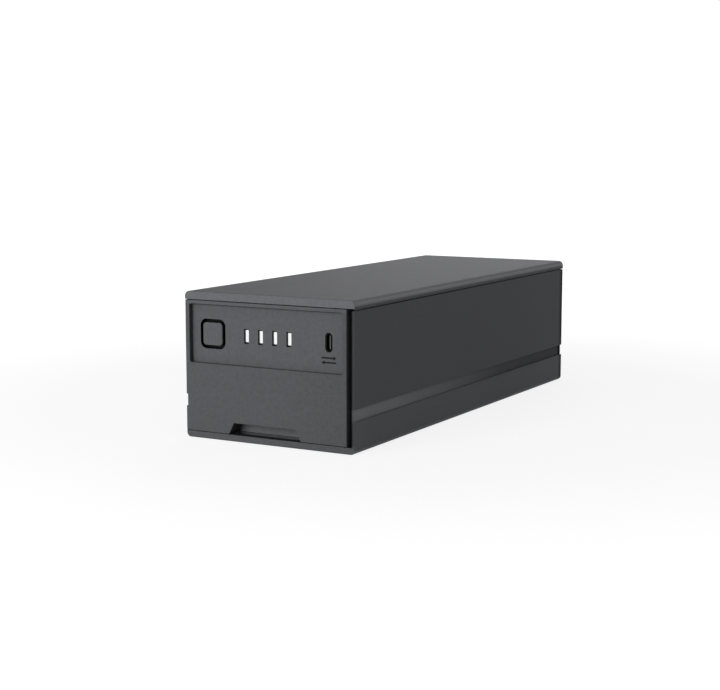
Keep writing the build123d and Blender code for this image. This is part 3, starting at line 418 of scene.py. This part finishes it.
# ---- Other materials -------------------------------------------------------------------------------
def smooth_plastic(name, colour, roughness=0.35, grain=1.2 * MM, sheen=0.5):
    """Plain moulded plastic or rubber with a faint flow pattern."""
    made, n, shader = material(name)
    flow = n.noise(n.position(), 1.0 / grain)
    n.set(shader, Base_Color=n.mix(n.spread(flow), scaled(colour, 0.8), colour),
          Roughness=n.spread(flow, roughness - 0.06, roughness + 0.08))
    n.set(shader, Specular_IOR_Level=sheen, Normal=n.bump(flow, 0.01 * MM, n.edge(0.1 * MM)))
    return made


def metal(name, colour, roughness=0.3, stretch=(1.0, 1.0, 1.0)):
    """Bare or plated metal with a drawn or brushed grain."""
    grain = 0.4 * MM
    made, n, shader = material(name)
    brushed = n.noise(n.stretch(n.position(), stretch), 1.0 / grain, detail=3.0, roughness=0.6)
    n.set(shader, Base_Color=n.mix(n.spread(brushed), scaled(colour, 0.72), colour), Metallic=1.0,
          Roughness=n.spread(brushed, roughness - 0.06, roughness + 0.12))
    n.set(shader, Normal=n.bump(brushed, 0.006 * MM, n.edge(0.08 * MM)))
    return made


def sleeved(name, sleeve, axis, low, high):
    """A metal can or rod in a coloured sleeve that covers it from low to high along one axis."""
    bare_metal = srgb(190, 190, 188)
    made, n, shader = material(name)
    point = n.position()
    covered = n.within(n.axis(point, axis), low, high, blend=0.05 * MM)
    haze = n.noise(point, 300.0)
    colour = n.mix(n.spread(haze), scaled(sleeve, 0.85), sleeve)
    n.set(shader, Base_Color=n.mix(covered, bare_metal, colour), Metallic=n.none_of(covered),
          Roughness=n.spread(haze, 0.25, 0.4))
    n.set(shader, Normal=n.bump(haze, 0.02 * MM))
    return made


def striped(name, ground, stripe, pitch):
    """Flat cable or film whose parallel conductors show through, side by side along X."""
    made, n, shader = material(name)
    point = n.position()
    wave = n.math("SINE", n.math("MULTIPLY", n.axis(point, "X"), radians(360) / pitch))
    haze = n.noise(point, 500.0)
    colour = n.mix(n.remap(wave, 0.2, 0.6), ground, stripe)
    n.set(shader, Base_Color=n.mix(n.spread(haze, 0.0, 0.25), colour, scaled(ground, 0.7)),
          Roughness=n.spread(haze, 0.37, 0.53))
    n.set(shader, Normal=n.bump(wave, 0.05 * MM))
    return made


def circuit_board(name):
    """Green solder mask over copper tracks."""
    made, n, shader = material(name)
    point = n.position()
    tracks = n.set(n.add("TexVoronoi", feature="DISTANCE_TO_EDGE"), Vector=point, Scale=260.0)
    covered = n.remap(tracks.outputs["Distance"], 0.06, 0.09)
    haze = n.noise(point, 120.0)
    mask = n.mix(n.spread(haze), srgb(14, 70, 42), srgb(18, 84, 50))
    n.set(shader, Base_Color=n.mix(covered, srgb(38, 122, 70), mask), Roughness=n.spread(haze, 0.22, 0.34))
    n.set(shader, Normal=n.bump(covered, -0.03 * MM))
    return made


def foam(name, colour):
    """Closed-cell foam or pressed powder."""
    made, n, shader = material(name)
    cells = n.set(n.add("TexVoronoi"), Vector=n.position(), Scale=1400.0).outputs["Distance"]
    n.set(shader, Base_Color=n.mix(n.remap(cells, 0.1, 0.7), scaled(colour, 0.6), colour),
          Roughness=n.remap(cells, 0.0, 0.8, 0.85, 0.97))
    n.set(shader, Normal=n.bump(cells, 0.15 * MM))
    return made


def paper(name, colour):
    """Insulating paper with long fibres."""
    made, n, shader = material(name)
    fibre = n.noise(n.stretch(n.position(), (1.0, 0.12, 1.0)), 1500.0, detail=4.0, roughness=0.6)
    n.set(shader, Base_Color=n.mix(n.spread(fibre), scaled(colour, 0.7), colour),
          Roughness=n.spread(fibre, 0.75, 0.9))
    n.set(shader, Normal=n.bump(fibre, 0.04 * MM))
    return made


def opal_light(name, strength, rim=0.0):
    """Lit opal plastic: an even white glow between dark ends, each a share of its height."""
    made, n, shader = material(name)
    share = n.axis(n.add("TexCoord").outputs["Generated"], "Z")
    cloud = n.noise(n.position(), 700.0)
    glow = n.mix(n.spread(cloud), srgb(244, 246, 250), srgb(255, 255, 255))
    lit = n.within(share, rim, 1 - rim, blend=0.02)
    n.set(shader, Base_Color=n.mix(lit, srgb(30, 30, 32), srgb(140, 142, 145)),
          Emission_Color=n.mix(lit, srgb(0, 0, 0), glow), Roughness=n.spread(cloud, 0.22, 0.3))
    n.set(shader, Emission_Strength=strength, Normal=n.edge(0.15 * MM))
    return made


def printed_ink(name):
    """Dark pad-printed ink, a little thin in places."""
    made, n, shader = material(name)
    wear = n.noise(n.position(), 2500.0, detail=3.0, roughness=0.6)
    n.set(shader, Base_Color=n.mix(n.remap(wear, 0.35, 0.7), srgb(16, 16, 18), srgb(32, 33, 35)),
          Roughness=n.spread(wear, 0.5, 0.65))
    n.set(shader, Specular_IOR_Level=0.1, Normal=n.bump(wear, 0.004 * MM))
    return made


# ---- Finish of every CAD node ----------------------------------------------------------------------
def paint(look, *names):
    """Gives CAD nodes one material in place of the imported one."""
    for name in names:
        data = frame["nodes"][name].data
        data.materials.clear()
        data.materials.append(look)


def paint_casing():
    """The outside: casing, button, light guides, port and rear plate, with their seals and screws."""
    grey = srgb(91, 92, 95)
    paint(moulded_plastic("cover_plastic", grey, cover_tone), "top_cover")
    paint(moulded_plastic("housing_plastic", grey, housing_tone), "lower_housing")
    paint(moulded_plastic("panel_plastic", grey, panel_tone), "front_panel")
    paint(moulded_plastic("button_plastic", srgb(98, 99, 102), cap_tone, grain_depth=0.008 * MM),
          "button_cap")
    paint(opal_light("opal_light", strength=0.75, rim=0.09), *[f"light_guide_{i}" for i in range(1, 5)])
    paint(metal("port_steel", srgb(28, 29, 31), stretch=(1.0, 0.08, 1.0)), "port_shell")
    paint(smooth_plastic("rear_plate_coating", srgb(34, 34, 36), roughness=0.5, grain=0.5 * MM),
          "rear_plate")
    paint(smooth_plastic("inner_plastic", srgb(15, 15, 16), sheen=0.08), "button_retainer", "button_guide",
          "switch_body", "light_guide_holder", "rear_socket")
    paint(smooth_plastic("tongue_plastic", srgb(52, 52, 54)), "port_tongue")
    paint(smooth_plastic("plunger_plastic", srgb(20, 20, 21), roughness=0.2), "switch_plunger")
    paint(smooth_plastic("seal_rubber", srgb(16, 16, 17), roughness=0.7, grain=2.0 * MM), "cover_seal",
          "button_seal", "port_seal", "rear_gasket")
    paint(metal("plated_steel", srgb(150, 150, 152), roughness=0.35), "cover_screws", "panel_screws",
          "front_board_screws", "rear_plate_screws", "socket_screws", "main_board_screws")
    paint(metal("contact_plating", srgb(214, 178, 104), roughness=0.25, stretch=(1.0, 0.1, 1.0)),
          "rear_contacts", "board_terminals")


def paint_pack():
    """The cell block inside the casing and what holds and joins it."""
    bare_end = 0.5 * MM
    cell_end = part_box("cell_group_1")[1][0]
    paint(sleeved("cell_sleeve", srgb(70, 140, 160), "X", -cell_end + bare_end, cell_end - bare_end),
          *[f"cell_group_{i}" for i in range(1, 7)])
    paint(smooth_plastic("holder_plastic", srgb(52, 52, 54), roughness=0.5), "cell_holder_left",
          "cell_holder_right")
    paint(metal("nickel_strip", srgb(200, 196, 186), roughness=0.28, stretch=(1.0, 0.06, 1.0)),
          "bus_plates_left", "bus_plates_right")
    paint(paper("insulating_paper", srgb(108, 150, 124)), "insulation_sheet_left", "insulation_sheet_right")
    paint(foam("pad_foam", srgb(72, 72, 75)), "foam_strip_left", "foam_strip_right")
    paint(striped("polyimide_film", srgb(176, 110, 40), srgb(206, 140, 66), pitch=1.2 * MM), "sense_flex")
    paint(striped("flat_cable", srgb(204, 204, 202), srgb(168, 168, 166), pitch=1.0 * MM), "signal_ribbon")
    paint(smooth_plastic("black_sleeve", srgb(28, 28, 29), roughness=0.5), "pack_lead_negative",
          "output_lead_negative")
    paint(smooth_plastic("red_sleeve", srgb(168, 30, 28), roughness=0.5), "pack_lead_positive",
          "output_lead_positive")


def paint_boards():
    """The circuit boards and the parts on them."""
    can_rim = 0.3 * MM
    fuse_cap = 3 * MM
    can_low, can_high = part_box("filter_capacitors")
    fuse_low, fuse_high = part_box("main_fuse")
    paint(circuit_board("solder_mask"), "main_board", "front_board")
    paint(smooth_plastic("natural_nylon", srgb(224, 218, 202), roughness=0.4), "board_headers")
    paint(foam("pressed_powder", srgb(86, 86, 88)), "power_chokes")
    paint(sleeved("capacitor_sleeve", srgb(34, 52, 88), "Z", can_low[2], can_high[2] - can_rim),
          "filter_capacitors")
    paint(smooth_plastic("epoxy", srgb(30, 30, 31), roughness=0.45, grain=0.4 * MM), "power_transistors")
    paint(metal("extruded_aluminium", srgb(214, 215, 217), roughness=0.32, stretch=(1.0, 0.1, 1.0)),
          "heat_spreader")
    paint(sleeved("fuse_body", srgb(226, 222, 208), "X", fuse_low[0] + fuse_cap, fuse_high[0] - fuse_cap),
          "main_fuse")
    paint(metal("shunt_strip", srgb(190, 148, 112), stretch=(0.1, 1.0, 1.0)), "shunt_resistor")
    paint(opal_light("phosphor", strength=0.6), "indicator_leds")


# ---- Printed mark below the port -------------------------------------------------------------------
def arrow(length, width, shaft):
    """Outline of an arrow along +X, centred on its length."""
    head = 0.8 * width
    neck = length / 2 - head
    return [(-length / 2, -shaft / 2), (neck, -shaft / 2), (neck, -width / 2), (length / 2, 0),
            (neck, width / 2), (neck, shaft / 2), (-length / 2, shaft / 2)]


def make_port_mark():
    """Two opposed arrows, in and out, printed on the recess floor below the port."""
    drop = 8.8 * MM
    spread = 1.15 * MM
    proud = 0.03 * MM
    port = mounts["usb_c_port"]
    ink_face = panel_face + recess_depth - proud
    outline = arrow(length=8.4 * MM, width=2.1 * MM, shaft=0.8 * MM)
    mesh = bpy.data.meshes.new("port_mark")
    form = bmesh.new()
    for side in (-1, 1):
        middle_z = port.z - drop + side * spread
        ring = [form.verts.new((port.x + side * x, ink_face, middle_z + side * z)) for x, z in outline]
        grown = bmesh.ops.extrude_face_region(form, geom=[form.faces.new(ring)])
        back = [part for part in grown["geom"] if isinstance(part, bmesh.types.BMVert)]
        bmesh.ops.translate(form, verts=back, vec=(0, 2 * proud, 0))
    bmesh.ops.recalc_face_normals(form, faces=form.faces)
    form.to_mesh(mesh)
    form.free()
    mark = bpy.data.objects.new("port_mark", mesh)
    scene.collection.objects.link(mark)
    mesh.materials.append(printed_ink("printed_ink"))
    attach(mark, "chassis")


# ---- Floor, background and light -------------------------------------------------------------------
def seen_directly(n):
    """1 for camera, glossy and transmission rays, 0 for light that falls on the object."""
    path = n.add("LightPath")
    seen = n.math("MAXIMUM", path.outputs["Is Camera Ray"], path.outputs["Is Glossy Ray"])
    return n.math("MAXIMUM", seen, path.outputs["Is Transmission Ray"])


def make_world(ambient):
    """White background, with plain soft fill light."""
    world = bpy.data.worlds.new("studio")
    scene.world = world
    world.use_nodes = True
    n = Nodes(world.node_tree)
    fill = n.set(n.add("Background"), Color=neutral(1.0), Strength=ambient)
    white = n.set(n.add("Background"), Color=neutral(1.0), Strength=1.0)
    n.set(n.add("OutputWorld"), Surface=n.mix_shaders(seen_directly(n), fill, white))


def floor_material():
    """Pale matt floor that, seen directly, fades into the white background."""
    fade_start = 0.2
    fade_end = 0.6
    near_glow = 0.83
    made = bpy.data.materials.new("floor")
    made.use_nodes = True
    n = Nodes(made.node_tree)
    away = n.set(n.add("VectorMath", operation="LENGTH"), Vector=n.position()).outputs["Value"]
    pale = n.set(n.add("BsdfDiffuse"), Color=neutral(0.86))
    faint = n.set(n.add("BsdfDiffuse"), Color=neutral(0.3))
    glow = n.set(n.add("Emission"), Color=neutral(1.0),
                 Strength=n.remap(away, fade_start, fade_end, near_glow, 1.0))
    white = n.add("AddShader")
    n.fill(white.inputs[0], faint.outputs[0])
    n.fill(white.inputs[1], glow.outputs[0])
    n.set(n.add("OutputMaterial"), Surface=n.mix_shaders(seen_directly(n), pale, white))
    return made


def make_floor():
    """Plain floor just under the object, which keeps its soft shadow."""
    half = 3.0
    clearance = 0.1 * MM
    mesh = bpy.data.meshes.new("floor")
    corners = [(-half, -half, 0), (half, -half, 0), (half, half, 0), (-half, half, 0)]
    mesh.from_pydata(corners, [], [(0, 1, 2, 3)])
    floor = bpy.data.objects.new("floor", mesh)
    floor.location.z = -clearance
    scene.collection.objects.link(floor)
    mesh.materials.append(floor_material())


def soft_light(name, place, size, power):
    """Square softbox at a place, facing the middle of the object."""
    data = bpy.data.lights.new(name, "AREA")
    data.shape = "SQUARE"
    data.size = size
    data.energy = power
    light = bpy.data.objects.new(name, data)
    light.location = place
    light.rotation_mode = "QUATERNION"
    middle = (Vector(cad_low) + Vector(cad_high)) / 2
    light.rotation_quaternion = (middle - Vector(place)).to_track_quat("-Z", "Y")
    light.visible_camera = False
    scene.collection.objects.link(light)


def make_light():
    """Plain studio light: one softbox low in front on the left and one behind on the left."""
    make_world(ambient=0.26)
    soft_light("front_softbox", place=(-0.2, -1.1, 0.2), size=0.6, power=6.6)
    soft_light("rear_softbox", place=(-0.6, 1.65, 0.45), size=0.7, power=5.0)


# ---- Scene -----------------------------------------------------------------------------------------
make_camera()
make_floor()
make_light()
paint_casing()
paint_pack()
paint_boards()
make_port_mark()

scene.view_settings.view_transform = "Standard"
